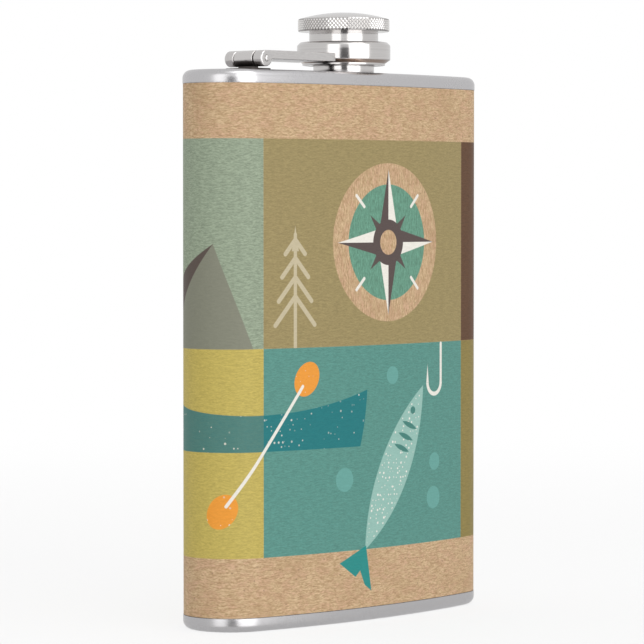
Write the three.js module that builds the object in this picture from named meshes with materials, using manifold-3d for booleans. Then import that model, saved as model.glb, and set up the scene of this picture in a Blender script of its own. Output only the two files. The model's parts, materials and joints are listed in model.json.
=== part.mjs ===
// A curved pocket flask of stainless steel with a printed wrap and a captive screw cap.
//
// Millimetres, +Z up, +X along the width, -Y towards the convex front. The origin is the middle of
// the surface that the flask stands on. The cap turns in a collar ring, the ring is brazed to an arm,
// and the arm swings on a pin in a bracket on the shoulder.

import * as THREE from 'three';
import { mergeVertices } from 'three/addons/utils/BufferGeometryUtils.js';
import Module from 'manifold-3d';

const wasm = await Module();
wasm.setup();

// ---- Driving dimensions ----

// Body: a kidney section, convex in front and hollow behind, with round ends.
const BODY_WIDTH = 95.2;
const BODY_THICKNESS = 23.2;
const BODY_HEIGHT = 134.2;
const FRONT_RADIUS = 192;
const CORNER_RADIUS = 2;
const TOP_RIM = 3.2;
const BOTTOM_RIM = 3.4;
const END_WALL = 0.5;
const SHELL_WALL = 0.5;
const SHELL_END_GAP = 0.1;

// Printed wrap, laid round the shell between the two rims.
const WRAP_THICKNESS = 0.4;
const WRAP_EDGE_GAP = 0.1;

// Pouring neck, welded through the shoulder: a plain foot, then the thread, then a lead-in.
const NECK_RADIUS = 7.5;
const NECK_WALL = 1.05;
const NECK_PLAIN_HEIGHT = 2.6;
const NECK_SPIGOT_WALL = 0.9;
const NECK_SPIGOT_DEPTH = 1.5;
const THREAD_PITCH = 1.5;
const THREAD_TURNS = 2;
const THREAD_DEPTH = 0.45;
const THREAD_SETBACK = 0.3;
const THREAD_RELIEF = 0.85;
const THREAD_LEAD_IN = 0.55;

// Collar ring on the arm.
const RING_LIFT = 1.95;
const RING_FOOT_WALL = 0.62;
const RING_FOOT_HEIGHT = 0.5;
const RING_BEVEL_WIDTH = 1.3;
const RING_BEVEL_HEIGHT = 0.9;
const RING_TOP_CHAMFER = 0.8;
const RING_LIP = 1.2;

// Captive cap: knurled head, threaded sleeve, seal and the washer that keeps it in the ring.
const HEAD_RADIUS = 11.35;
const HEAD_HEIGHT = 3.05;
const HEAD_DOME = 1.65;
const HEAD_CHAMFER = 0.25;
const HEAD_GAP = 2.65;
const SLEEVE_WALL = 0.5;
const SLEEVE_TENON = 0.6;
const SLEEVE_FOOT_LIP = 0.6;
const SLEEVE_FOOT_HEIGHT = 0.45;
const SLEEVE_FOOT_GAP = 0.1;
const SEAL_THICKNESS = 1.45;
const SEAL_GAP = 0.1;
const WASHER_THICKNESS = 0.7;
const WASHER_LAND = 0.8;
const WASHER_GAP = 0.25;

// Hinge: arm and bracket knuckles on one pin, with its axis along Y.
const HINGE_INSET = 13.85;
const KNUCKLE_RADIUS = 1.95;
const ARM_WIDTH = 12.4;
const ARM_THICKNESS = 2.1;
const MIDDLE_KNUCKLE = 6;
const KNUCKLE_GAP = 0.3;
const PIN_RADIUS = 0.75;
const PIN_DOME = 0.45;
const BRACKET_BASE_LENGTH = 6.4;
const BRACKET_BASE_WIDTH = 8.8;
const BRACKET_BASE_THICKNESS = 0.4;
const BRACKET_WEB_THICKNESS = 1.2;
const BRACKET_WEB_INSET = 0.25;

// Clearances.
const FIT_GAP = 0.03;
const SLIDING_GAP = 0.1;
const RUNNING_GAP = 0.06;
const BRAZE_GAP = 0.05;
const SLEEVE_NECK_GAP = 0.5;
const THREAD_CREST_GAP = 0.45;
const LIFT_SPARE = 0.22;
const KNUCKLE_BASE_GAP = 0.32;

// Facets.
const FLAT_ARC_STEPS = 14;
const END_ARC_STEPS = 16;
const CORNER_STEPS = 5;
const TURNED_STEPS = 48;
const PIN_STEPS = 24;
const DOME_STEPS = 6;

// ---- Places worked out from the dimensions ----

const MIDLINE_RADIUS = FRONT_RADIUS - BODY_THICKNESS / 2;
const END_ANGLE = Math.asin((BODY_WIDTH - BODY_THICKNESS) / 2 / MIDLINE_RADIUS);
const BODY_DEPTH = FRONT_RADIUS - MIDLINE_RADIUS * Math.cos(END_ANGLE) + BODY_THICKNESS / 2;
const ARC_CENTRE_Y = FRONT_RADIUS - BODY_DEPTH / 2;
const NECK_Y = ARC_CENTRE_Y - MIDLINE_RADIUS;
const SHOULDER = BODY_HEIGHT;

// The neck, and the cap that screws on it.
const THREAD_CREST_RADIUS = NECK_RADIUS - THREAD_SETBACK;
const THREAD_ROOT_RADIUS = THREAD_CREST_RADIUS - THREAD_DEPTH;
const NECK_BORE_RADIUS = THREAD_ROOT_RADIUS - NECK_WALL;
const NECK_SPIGOT_RADIUS = NECK_BORE_RADIUS + NECK_SPIGOT_WALL;
const CAP_TRAVEL = THREAD_TURNS * THREAD_PITCH;
const THREAD_BOTTOM = SHOULDER + NECK_PLAIN_HEIGHT + THREAD_RELIEF;
const NECK_TOP = THREAD_BOTTOM + CAP_TRAVEL + THREAD_LEAD_IN;
const SLEEVE_BORE_RADIUS = NECK_RADIUS + SLEEVE_NECK_GAP;
const SLEEVE_RADIUS = SLEEVE_BORE_RADIUS + SLEEVE_WALL;
const SEAL_BOTTOM = NECK_TOP + SEAL_GAP;
const SLEEVE_CEILING = SEAL_BOTTOM + SEAL_THICKNESS + FIT_GAP;

// The washer under the ring's lip, with room to rise as the cap is unscrewed.
const RING_BOTTOM = SHOULDER + RING_LIFT;
const SLEEVE_BOTTOM = RING_BOTTOM + SLEEVE_FOOT_GAP;
const WASHER_RADIUS = SLEEVE_RADIUS + FIT_GAP + WASHER_LAND;
const WASHER_BOTTOM = SLEEVE_BOTTOM + SLEEVE_FOOT_HEIGHT + FIT_GAP;
const LIP_BOTTOM = WASHER_BOTTOM + WASHER_THICKNESS + CAP_TRAVEL + LIFT_SPARE;
const RING_TOP = LIP_BOTTOM + RING_LIP;
const RING_BORE_RADIUS = SLEEVE_RADIUS + SLIDING_GAP;
const RING_COUNTERBORE_RADIUS = WASHER_RADIUS + WASHER_GAP;
const RING_FOOT_RADIUS = RING_COUNTERBORE_RADIUS + RING_FOOT_WALL;
const RING_RADIUS = RING_FOOT_RADIUS + RING_BEVEL_WIDTH;
const HEAD_BOTTOM = RING_TOP + HEAD_GAP;
const SLEEVE_TOP = HEAD_BOTTOM + SLEEVE_TENON;

// The hinge.
const HINGE_X = HINGE_INSET - BODY_WIDTH / 2;
const BRACKET_BASE_TOP = SHOULDER + FIT_GAP + BRACKET_BASE_THICKNESS;
const HINGE_Z = BRACKET_BASE_TOP + KNUCKLE_BASE_GAP + KNUCKLE_RADIUS;
const OUTER_KNUCKLE_START = MIDDLE_KNUCKLE / 2 + KNUCKLE_GAP;
const OUTER_KNUCKLE = ARM_WIDTH / 2 - OUTER_KNUCKLE_START;

// ---- Solids ----

// A closed geometry as a solid, with shared corners and no slivers.
function solid(geometry) {
  const bare = geometry.index ? geometry.toNonIndexed() : geometry.clone();
  bare.deleteAttribute('normal');
  bare.deleteAttribute('uv');
  const merged = mergeVertices(bare, 1e-5);
  const triangles = [];
  for (let i = 0; i < merged.index.count; i += 3) {
    const corners = [0, 1, 2].map((step) => merged.index.getX(i + step));
    if (new Set(corners).size === 3) triangles.push(...corners);
  }
  return new wasm.Manifold(new wasm.Mesh({
    numProp: 3,
    vertProperties: new Float32Array(merged.attributes.position.array),
    triVerts: new Uint32Array(triangles),
  }));
}

// A solid's surface as a three.js geometry.
function geometryOf(manifold) {
  const { vertProperties, triVerts } = manifold.getMesh();
  const geometry = new THREE.BufferGeometry();
  geometry.setAttribute('position', new THREE.BufferAttribute(new Float32Array(vertProperties), 3));
  geometry.setIndex(new THREE.BufferAttribute(new Uint32Array(triVerts), 1));
  geometry.computeVertexNormals();
  return geometry;
}

function box(size, centre) {
  return solid(new THREE.BoxGeometry(...size).translate(...centre));
}

// A cylinder whose axis lies along Y, between two places on that axis.
function barrel(radius, from, to, steps = TURNED_STEPS) {
  const geometry = new THREE.CylinderGeometry(radius, radius, to - from, steps);
  return solid(geometry.translate(HINGE_X, NECK_Y + (from + to) / 2, HINGE_Z));
}

// A cylinder whose axis is the cap's.
function capCylinder(radius, zLow, zHigh) {
  const geometry = new THREE.CylinderGeometry(radius, radius, zHigh - zLow, TURNED_STEPS);
  geometry.rotateX(Math.PI / 2).rotateZ(Math.PI / 2);
  return solid(geometry.translate(0, NECK_Y, (zLow + zHigh) / 2));
}

// A turned solid from [radius, z] points, listed anticlockwise with radius to the right and z up.
function turned(profile) {
  const points = profile.map(([radius, z]) => new THREE.Vector2(radius, z));
  const closed = points[0].x > 0 ? [...points, points[0].clone()] : points;
  const geometry = new THREE.LatheGeometry(closed, TURNED_STEPS).rotateX(Math.PI / 2);
  return solid(geometry.translate(0, NECK_Y, 0));
}

function arc(x, y, radius, from, to, steps) {
  return new THREE.EllipseCurve(x, y, radius, radius, from, to, to < from).getPoints(steps).slice(0, -1);
}

// The body's outline, moved inwards by a distance, anticlockwise from the front's left end.
function bodyOutline(inset) {
  const front = -Math.PI / 2;
  const endX = MIDLINE_RADIUS * Math.sin(END_ANGLE);
  const endY = ARC_CENTRE_Y - MIDLINE_RADIUS * Math.cos(END_ANGLE);
  const endRadius = BODY_THICKNESS / 2 - inset;
  const right = front + END_ANGLE;
  const left = front - END_ANGLE;
  return new THREE.Shape([
    ...arc(0, ARC_CENTRE_Y, FRONT_RADIUS - inset, left, right, FLAT_ARC_STEPS),
    ...arc(endX, endY, endRadius, right, right + Math.PI, END_ARC_STEPS),
    ...arc(0, ARC_CENTRE_Y, FRONT_RADIUS - BODY_THICKNESS + inset, right, left, FLAT_ARC_STEPS),
    ...arc(-endX, endY, endRadius, left - Math.PI, left, END_ARC_STEPS),
  ]);
}

// The body's outline drawn up between two heights.
function bodyPrism(inset, zLow, zHigh) {
  const settings = { depth: zHigh - zLow, bevelEnabled: false };
  return solid(new THREE.ExtrudeGeometry(bodyOutline(inset), settings).translate(0, 0, zLow));
}

// The whole body as one block with rounded top and bottom edges, moved inwards by a distance.
function bodyBlock(inset) {
  const radius = CORNER_RADIUS - inset;
  const settings = {
    depth: BODY_HEIGHT - 2 * CORNER_RADIUS,
    bevelThickness: radius,
    bevelSize: radius,
    bevelSegments: CORNER_STEPS,
  };
  const geometry = new THREE.ExtrudeGeometry(bodyOutline(CORNER_RADIUS), settings);
  return solid(geometry.translate(0, 0, CORNER_RADIUS));
}

// The part of the rounded skin that lies between two heights.
function skinBetween(zLow, zHigh) {
  const slab = box([2 * BODY_WIDTH, 2 * BODY_WIDTH, zHigh - zLow], [0, 0, (zLow + zHigh) / 2]);
  return bodyBlock(0).subtract(bodyBlock(END_WALL)).intersect(slab);
}

// Thread ridges as [radius, z] points, from the lowest crest to the highest.
function threadRidges(rootRadius, crestRadius) {
  const points = [];
  for (let turn = 0; turn < THREAD_TURNS; turn += 1) {
    const z = THREAD_BOTTOM + turn * THREAD_PITCH;
    points.push([rootRadius, z], [crestRadius, z + THREAD_PITCH * 0.3]);
    points.push([crestRadius, z + THREAD_PITCH * 0.45], [rootRadius, z + THREAD_PITCH * 0.75]);
  }
  return points;
}

// ---- Pieces ----

function bodyShell() {
  const outer = END_WALL + FIT_GAP;
  const zLow = CORNER_RADIUS + SHELL_END_GAP;
  const zHigh = BODY_HEIGHT - zLow;
  return bodyPrism(outer, zLow, zHigh).subtract(bodyPrism(outer + SHELL_WALL, zLow - 1, zHigh + 1));
}

function topEnd() {
  const hole = capCylinder(NECK_SPIGOT_RADIUS + FIT_GAP, SHOULDER - CORNER_RADIUS, SHOULDER + 1);
  return skinBetween(BODY_HEIGHT - TOP_RIM, BODY_HEIGHT + 1).subtract(hole);
}

function bottomEnd() {
  return skinBetween(-1, BOTTOM_RIM);
}

function printWrap() {
  const zLow = BOTTOM_RIM + WRAP_EDGE_GAP;
  const zHigh = BODY_HEIGHT - TOP_RIM - WRAP_EDGE_GAP;
  const sheet = bodyPrism(END_WALL - WRAP_THICKNESS, zLow, zHigh);
  return sheet.subtract(bodyPrism(END_WALL, zLow - 1, zHigh + 1));
}

function pourNeck() {
  const plainTop = SHOULDER + NECK_PLAIN_HEIGHT;
  return turned([
    [NECK_BORE_RADIUS, SHOULDER - NECK_SPIGOT_DEPTH],
    [NECK_SPIGOT_RADIUS, SHOULDER - NECK_SPIGOT_DEPTH],
    [NECK_SPIGOT_RADIUS, SHOULDER + FIT_GAP],
    [NECK_RADIUS, SHOULDER + FIT_GAP],
    [NECK_RADIUS, plainTop],
    [THREAD_ROOT_RADIUS, plainTop + THREAD_RELIEF / 2],
    ...threadRidges(THREAD_ROOT_RADIUS, THREAD_CREST_RADIUS),
    [THREAD_ROOT_RADIUS, NECK_TOP - THREAD_LEAD_IN / 2],
    [THREAD_ROOT_RADIUS - THREAD_LEAD_IN / 2, NECK_TOP],
    [NECK_BORE_RADIUS, NECK_TOP],
  ]);
}

function hingeBracket() {
  const webHeight = HINGE_Z - BRACKET_BASE_TOP;
  const base = box(
    [BRACKET_BASE_LENGTH, BRACKET_BASE_WIDTH, BRACKET_BASE_THICKNESS],
    [HINGE_X, NECK_Y, BRACKET_BASE_TOP - BRACKET_BASE_THICKNESS / 2],
  );
  const web = box(
    [BRACKET_WEB_THICKNESS, MIDDLE_KNUCKLE - 2 * BRACKET_WEB_INSET, webHeight + BRACKET_BASE_THICKNESS],
    [HINGE_X, NECK_Y, BRACKET_BASE_TOP + (webHeight - BRACKET_BASE_THICKNESS) / 2],
  );
  const half = MIDDLE_KNUCKLE / 2;
  return base.add(web).add(barrel(KNUCKLE_RADIUS, -half, half)).subtract(pinBore());
}

function pinBore() {
  return barrel(PIN_RADIUS + RUNNING_GAP, -ARM_WIDTH, ARM_WIDTH, PIN_STEPS);
}

function hingePin() {
  const half = ARM_WIDTH / 2;
  const domeRadius = (PIN_RADIUS ** 2 + PIN_DOME ** 2) / (2 * PIN_DOME);
  const domeAngle = Math.asin(PIN_RADIUS / domeRadius);
  const centre = half + PIN_DOME - domeRadius;
  const front = [];
  const back = [];
  for (let step = 0; step <= DOME_STEPS; step += 1) {
    const angle = domeAngle * (step / DOME_STEPS);
    front.push(new THREE.Vector2(domeRadius * Math.sin(angle), -centre - domeRadius * Math.cos(angle)));
    back.unshift(new THREE.Vector2(domeRadius * Math.sin(angle), centre + domeRadius * Math.cos(angle)));
  }
  front[0].x = 0;
  back[DOME_STEPS].x = 0;
  const geometry = new THREE.LatheGeometry([...front, ...back], PIN_STEPS);
  return solid(geometry.translate(HINGE_X, NECK_Y, HINGE_Z));
}

function captiveArm() {
  const top = HINGE_Z + KNUCKLE_RADIUS;
  const plate = box(
    [-HINGE_X, ARM_WIDTH, ARM_THICKNESS],
    [HINGE_X / 2, NECK_Y, top - ARM_THICKNESS / 2],
  );
  const notchLength = 2 * (KNUCKLE_RADIUS + KNUCKLE_GAP);
  const notch = box(
    [notchLength, MIDDLE_KNUCKLE + 2 * KNUCKLE_GAP, notchLength],
    [HINGE_X, NECK_Y, HINGE_Z],
  );
  const front = barrel(KNUCKLE_RADIUS, -ARM_WIDTH / 2, -OUTER_KNUCKLE_START);
  const back = barrel(KNUCKLE_RADIUS, OUTER_KNUCKLE_START, OUTER_KNUCKLE_START + OUTER_KNUCKLE);
  const seat = capCylinder(RING_RADIUS + BRAZE_GAP, SHOULDER, HEAD_BOTTOM);
  return plate.subtract(notch).add(front).add(back).subtract(pinBore()).subtract(seat);
}

function collarRing() {
  const footTop = RING_BOTTOM + RING_FOOT_HEIGHT;
  return turned([
    [RING_COUNTERBORE_RADIUS, RING_BOTTOM],
    [RING_FOOT_RADIUS, RING_BOTTOM],
    [RING_FOOT_RADIUS, footTop],
    [RING_RADIUS, footTop + RING_BEVEL_HEIGHT],
    [RING_RADIUS, RING_TOP - RING_TOP_CHAMFER],
    [RING_RADIUS - RING_TOP_CHAMFER, RING_TOP],
    [RING_BORE_RADIUS, RING_TOP],
    [RING_BORE_RADIUS, LIP_BOTTOM],
    [RING_COUNTERBORE_RADIUS, LIP_BOTTOM],
  ]);
}

function retainingWasher() {
  const top = WASHER_BOTTOM + WASHER_THICKNESS;
  return turned([
    [SLEEVE_RADIUS + FIT_GAP, WASHER_BOTTOM],
    [WASHER_RADIUS, WASHER_BOTTOM],
    [WASHER_RADIUS, top],
    [SLEEVE_RADIUS + FIT_GAP, top],
  ]);
}

function capKnob() {
  const rim = HEAD_BOTTOM + HEAD_HEIGHT;
  const domeBase = HEAD_RADIUS - HEAD_CHAMFER;
  const domeRadius = (domeBase ** 2 + HEAD_DOME ** 2) / (2 * HEAD_DOME);
  const domeAngle = Math.asin(domeBase / domeRadius);
  const dome = [];
  for (let step = 0; step < DOME_STEPS; step += 1) {
    const angle = domeAngle * (1 - step / DOME_STEPS);
    dome.push([domeRadius * Math.sin(angle), rim + HEAD_DOME - domeRadius * (1 - Math.cos(angle))]);
  }
  return turned([
    [0, SLEEVE_TOP + FIT_GAP],
    [SLEEVE_RADIUS + FIT_GAP, SLEEVE_TOP + FIT_GAP],
    [SLEEVE_RADIUS + FIT_GAP, HEAD_BOTTOM],
    [HEAD_RADIUS - HEAD_CHAMFER, HEAD_BOTTOM],
    [HEAD_RADIUS, HEAD_BOTTOM + HEAD_CHAMFER],
    [HEAD_RADIUS, rim - HEAD_CHAMFER],
    ...dome,
    [0, rim + HEAD_DOME],
  ]);
}

function capSleeve() {
  const footRadius = SLEEVE_RADIUS + SLEEVE_FOOT_LIP;
  const footTop = SLEEVE_BOTTOM + SLEEVE_FOOT_HEIGHT;
  const crest = THREAD_CREST_RADIUS + THREAD_CREST_GAP;
  const ridges = threadRidges(SLEEVE_BORE_RADIUS, crest).reverse();
  return turned([
    [SLEEVE_BORE_RADIUS, SLEEVE_BOTTOM],
    [footRadius, SLEEVE_BOTTOM],
    [footRadius, footTop],
    [SLEEVE_RADIUS, footTop],
    [SLEEVE_RADIUS, SLEEVE_TOP],
    [0, SLEEVE_TOP],
    [0, SLEEVE_CEILING],
    [SLEEVE_BORE_RADIUS, SLEEVE_CEILING],
    ...ridges,
  ]);
}

function capSeal() {
  const radius = SLEEVE_BORE_RADIUS - SLIDING_GAP;
  return turned([
    [0, SEAL_BOTTOM],
    [radius, SEAL_BOTTOM],
    [radius, SEAL_BOTTOM + SEAL_THICKNESS],
    [0, SEAL_BOTTOM + SEAL_THICKNESS],
  ]);
}

// ---- Assembly ----

const SATIN_STEEL = { color: 0xbdbbbc, roughness: 0.34, metalness: 1 };
const TURNED_STEEL = { color: 0xcbc7c5, roughness: 0.2, metalness: 1 };
const DARK_STEEL = { color: 0x9a9896, roughness: 0.4, metalness: 1 };
const PRINTED_VINYL = { color: 0xb89a72, roughness: 0.6, metalness: 0 };
const SEAL_RUBBER = { color: 0xd8d4cc, roughness: 0.7, metalness: 0 };

const PIECES = [
  ['body_shell', bodyShell, SATIN_STEEL],
  ['top_end', topEnd, SATIN_STEEL],
  ['bottom_end', bottomEnd, SATIN_STEEL],
  ['print_wrap', printWrap, PRINTED_VINYL],
  ['pour_neck', pourNeck, TURNED_STEEL],
  ['hinge_bracket', hingeBracket, DARK_STEEL],
  ['hinge_pin', hingePin, TURNED_STEEL],
  ['captive_arm', captiveArm, TURNED_STEEL],
  ['collar_ring', collarRing, TURNED_STEEL],
  ['retaining_washer', retainingWasher, DARK_STEEL],
  ['cap_sleeve', capSleeve, TURNED_STEEL],
  ['cap_knob', capKnob, TURNED_STEEL],
  ['cap_seal', capSeal, SEAL_RUBBER],
];

const group = new THREE.Group();
for (const [name, makePiece, finish] of PIECES) {
  const mesh = new THREE.Mesh(geometryOf(makePiece()), new THREE.MeshStandardMaterial(finish));
  mesh.name = name;
  group.add(mesh);
}

export default group;
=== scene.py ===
"""Finishes a curved hip flask with a captive screw cap: metalwork, printed wrap and studio.

Lengths are in metres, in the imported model's frame: +Z up, -Y towards the convex front.
"""

import json
import math

import bpy
from bpy.props import FloatProperty, FloatVectorProperty, IntProperty, PointerProperty
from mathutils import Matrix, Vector


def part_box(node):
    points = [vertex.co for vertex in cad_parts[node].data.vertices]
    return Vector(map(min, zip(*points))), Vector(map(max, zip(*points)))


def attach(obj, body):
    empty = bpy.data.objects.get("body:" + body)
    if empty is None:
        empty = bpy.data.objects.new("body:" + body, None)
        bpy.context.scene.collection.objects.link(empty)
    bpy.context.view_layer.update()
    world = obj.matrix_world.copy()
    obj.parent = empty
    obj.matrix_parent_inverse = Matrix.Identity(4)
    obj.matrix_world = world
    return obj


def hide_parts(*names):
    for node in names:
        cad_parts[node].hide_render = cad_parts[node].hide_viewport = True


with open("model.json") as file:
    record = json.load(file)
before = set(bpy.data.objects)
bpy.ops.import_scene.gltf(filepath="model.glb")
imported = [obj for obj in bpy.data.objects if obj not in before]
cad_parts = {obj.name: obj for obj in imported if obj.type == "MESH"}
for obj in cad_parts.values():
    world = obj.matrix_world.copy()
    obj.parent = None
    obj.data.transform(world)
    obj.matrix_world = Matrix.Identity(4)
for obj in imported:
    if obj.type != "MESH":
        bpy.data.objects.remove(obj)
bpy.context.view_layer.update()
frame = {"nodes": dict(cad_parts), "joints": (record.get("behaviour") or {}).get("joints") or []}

bl_info = {
    "name": "Hip Flask Finisher",
    "version": (1, 0, 0),
    "blender": (4, 5, 0),
    "location": "View3D > Sidebar > Flask",
    "description": "Makes the fine metalwork, the printed wrap and the studio of a hip flask",
    "category": "Object",
}

MM = 0.001
FULL_TURN = 2 * math.pi
UNROLLED = "unrolled"
FIT = 0.03 * MM
WELD = 0.001 * MM
RIDGE_SINK = 0.1 * MM
TURNED_STEPS = 144
HELIX_STEPS = 96
ROD_STEPS = 72
DOME_STEPS = 24
SOFTBOX_DISTANCE = 0.9
CARD_DISTANCE = 0.95
CARD_BLACK = (0.11, 0.105, 0.11)
AIM = (-3.98 * MM, 15.2 * MM, 72.95 * MM)

BASE_LOW, BASE_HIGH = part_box("bottom_end")
SHOULDER_LOW, SHOULDER_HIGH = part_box("top_end")
WRAP_LOW, WRAP_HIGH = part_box("print_wrap")
NECK_LOW, NECK_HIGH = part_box("pour_neck")
RING_LOW, RING_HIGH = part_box("collar_ring")
SLEEVE_LOW, SLEEVE_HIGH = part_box("cap_sleeve")
KNOB_LOW, KNOB_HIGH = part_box("cap_knob")
SEAL_LOW, SEAL_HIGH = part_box("cap_seal")
WASHER_LOW, WASHER_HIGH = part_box("retaining_washer")
ARM_LOW, ARM_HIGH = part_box("captive_arm")
BRACKET_LOW, BRACKET_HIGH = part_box("hinge_bracket")
PIN_LOW, PIN_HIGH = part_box("hinge_pin")

SHOULDER = SHOULDER_HIGH.z
AXIS = (NECK_LOW + NECK_HIGH) / 2
HINGE = next(Vector(joint["pos_m"]) for joint in frame["joints"] if joint["name"] == "arm_swing")


# ---- Settings ----

def length(label, default):
    return FloatProperty(name=label, default=default, unit="LENGTH", precision=5)


def share(label, default):
    return FloatProperty(name=label, default=default, min=0, max=1)


def colour(label, default):
    return FloatVectorProperty(name=label, default=default, subtype="COLOR", size=3)


def watts(label, default):
    return FloatProperty(name=label, default=default, min=0, unit="POWER")


def turn(label, degrees):
    return FloatProperty(name=label, default=math.radians(degrees), subtype="ANGLE")


def count(label, default):
    return IntProperty(name=label, default=default, min=1)


class FlaskBodySettings(bpy.types.PropertyGroup):
    width: length("Overall width of the body", 0.0952)
    thickness: length("Front to back, across the kidney section", 0.0232)
    front_radius: length("Radius of the convex front", 0.192)
    corner_radius: length("Rounding of the top and bottom edges", 0.002)
    pan_wall: length("Steel of the shoulder and base", 0.0005)
    wrap_inset: length("How far the wrap lies inside the rims", 0.0001)
    wrap_thickness: length("Thickness of the printed sheet", 0.0004)
    front_steps: count("Facets along the front and the back", 72)
    end_steps: count("Facets round each end", 48)


class FlaskNeckSettings(bpy.types.PropertyGroup):
    foot_radius: length("Plain foot of the neck", 0.0075)
    foot_height: length("Height of the plain foot", 0.0026)
    crest_radius: length("Outside radius of the thread", 0.0072)
    root_radius: length("Radius between the turns", 0.00675)
    bore_radius: length("Radius of the pouring hole", 0.0057)
    spigot_radius: length("Part that passes through the shoulder", 0.0066)
    pitch: length("Rise of the thread in one turn", 0.0015)
    turns: count("Turns of thread", 2)


class FlaskCapSettings(bpy.types.PropertyGroup):
    head_radius: length("Over the knurl", 0.01135)
    head_height: length("Height of the knurled rim", 0.00305)
    shank_radius: length("Outside of the sleeve", 0.0085)
    shank_wall: length("Wall of the sleeve", 0.0005)
    thread_crest: length("Inside radius of the sleeve's thread", 0.00765)
    foot_lip: length("Lip that carries the washer", 0.0006)
    foot_height: length("Height of that lip", 0.00045)
    tenon: length("How far the sleeve enters the head", 0.0006)
    fit_gap: length("Space between fitted pieces", 0.00003)
    knurl_columns: count("Diamonds round the head", 78)
    knurl_rows: count("Rows of diamonds", 3)
    knurl_depth: length("Depth of the knurl", 0.00024)


class FlaskCollarSettings(bpy.types.PropertyGroup):
    radius: length("Outside of the collar ring", 0.0115)
    foot_radius: length("Thin foot of the ring", 0.0102)
    foot_height: length("Height of that foot", 0.0005)
    bevel_height: length("Bevel between foot and side", 0.0009)
    top_chamfer: length("Chamfer of the upper edge", 0.0008)
    bore_radius: length("Bore of the upper lip", 0.0086)
    counterbore: length("Wider bore that the washer rises in", 0.00958)
    lip: length("Thickness of the upper lip", 0.0012)


class FlaskHingeSettings(bpy.types.PropertyGroup):
    knuckle_radius: length("Outside of the knuckles", 0.00195)
    middle_knuckle: length("Length of the bracket's knuckle", 0.006)
    gap: length("Space between knuckles", 0.0003)
    pin_radius: length("Radius of the hinge pin", 0.00075)
    bore_radius: length("Radius of the holes for the pin", 0.00081)
    arm_thickness: length("Thickness of the arm", 0.0021)
    seat_gap: length("Space between the arm and the ring", 0.00003)
    base_thickness: length("Thickness of the bracket's base", 0.0004)
    web_thickness: length("Thickness of the bracket's web", 0.0012)
    web_inset: length("How much shorter the web is than the knuckle, each side", 0.00025)


class FlaskMetalSettings(bpy.types.PropertyGroup):
    satin_colour: colour("Shoulder, base and shell", (0.60, 0.59, 0.60))
    satin_roughness: share("Roughness of the satin steel", 0.28)
    turned_colour: colour("Cap, ring and arm", (0.68, 0.66, 0.65))
    turned_roughness: share("Roughness of the turned steel", 0.15)
    worked_colour: colour("Bracket and washer", (0.40, 0.39, 0.38))
    # Painted shade: the dark colour painted on the bracket below the pin, where it lies in shade.
    painted_shade_colour: colour("Steel blackened by brazing", (0.10, 0.09, 0.085))
    braze_tint: colour("Warm tint under the collar ring", (0.42, 0.30, 0.22))
    seal_colour: colour("Silicone of the sealing disc", (0.74, 0.71, 0.66))


class FlaskPrintSettings(bpy.types.PropertyGroup):
    paper_pale: colour("Pale fibres of the brown paper", (0.67, 0.49, 0.30))
    paper_pink: colour("Warmer patches of the paper", (0.64, 0.42, 0.275))
    paper_dark: colour("Darker fibres of the paper", (0.385, 0.25, 0.13))
    paper_speck: colour("Specks in the paper", (0.20, 0.125, 0.07))
    sage: colour("Upper left block", (0.27, 0.335, 0.245))
    olive: colour("Upper middle block", (0.305, 0.245, 0.11))
    brown: colour("Upper right block", (0.10, 0.048, 0.026))
    mustard: colour("Lower left block", (0.495, 0.40, 0.10))
    teal: colour("Lower middle block", (0.085, 0.265, 0.23))
    moss: colour("Lower right block", (0.245, 0.195, 0.06))
    rock_light: colour("Sunny side of the peak", (0.215, 0.215, 0.165))
    rock_dark: colour("Shaded side of the peak", (0.10, 0.075, 0.065))
    pine: colour("Tree", (0.55, 0.48, 0.33))
    dial: colour("Disc of the compass", (0.12, 0.29, 0.21))
    needle: colour("Dark halves of the compass points", (0.10, 0.075, 0.07))
    cream: colour("Pale lines and points", (0.80, 0.77, 0.70))
    hull: colour("Canoe", (0.006, 0.165, 0.185))
    paddle: colour("Paddle blades", (0.80, 0.31, 0.04))
    fish: colour("Fish", (0.30, 0.50, 0.44))
    fin: colour("Eye and gills of the fish", (0.055, 0.20, 0.17))
    tail: colour("Tail of the fish", (0.012, 0.245, 0.23))
    bubble: colour("Bubbles", (0.145, 0.37, 0.33))
    roughness: share("Roughness of the vinyl", 0.5)
    sheen: share("Strength of the vinyl's reflection", 0.12)


class FlaskStudioSettings(bpy.types.PropertyGroup):
    lens: FloatProperty(name="Focal length in millimetres", default=196.83)
    distance: length("Camera to the middle of the flask", 0.87003)
    azimuth: turn("Camera's turn from the front", -46.98)
    pitch: turn("How far the camera looks down", 1.96)
    surround: share("Brightness of the room that the metal reflects", 0.8)
    key_power: watts("Power of the large softbox that the metal reflects", 5.7)
    print_power: watts("Power of the softbox that lights the print", 3.8)
    fill_power: watts("Power of the softbox on the left", 1.9)
    top_power: watts("Power of the softbox above", 2.5)


SETTINGS = {
    "flask_body": FlaskBodySettings,
    "flask_neck": FlaskNeckSettings,
    "flask_cap": FlaskCapSettings,
    "flask_collar": FlaskCollarSettings,
    "flask_hinge": FlaskHingeSettings,
    "flask_metal": FlaskMetalSettings,
    "flask_print": FlaskPrintSettings,
    "flask_studio": FlaskStudioSettings,
}


# ---- Modelling ----

def add(primitive, name, **settings):
    """Adds a primitive by its operator, alone in the selection."""
    bpy.ops.object.select_all(action="DESELECT")
    primitive(**settings)
    piece = bpy.context.object
    piece.name = piece.data.name = name
    return piece


def settle():
    """Applies the active object's place, turn and scale to its mesh."""
    bpy.ops.object.transform_apply(location=True, rotation=True, scale=True)


def weld(distance=WELD):
    """Selects the whole mesh and joins its doubled points."""
    bpy.ops.mesh.select_all(action="SELECT")
    bpy.ops.mesh.remove_doubles(threshold=distance)


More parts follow.
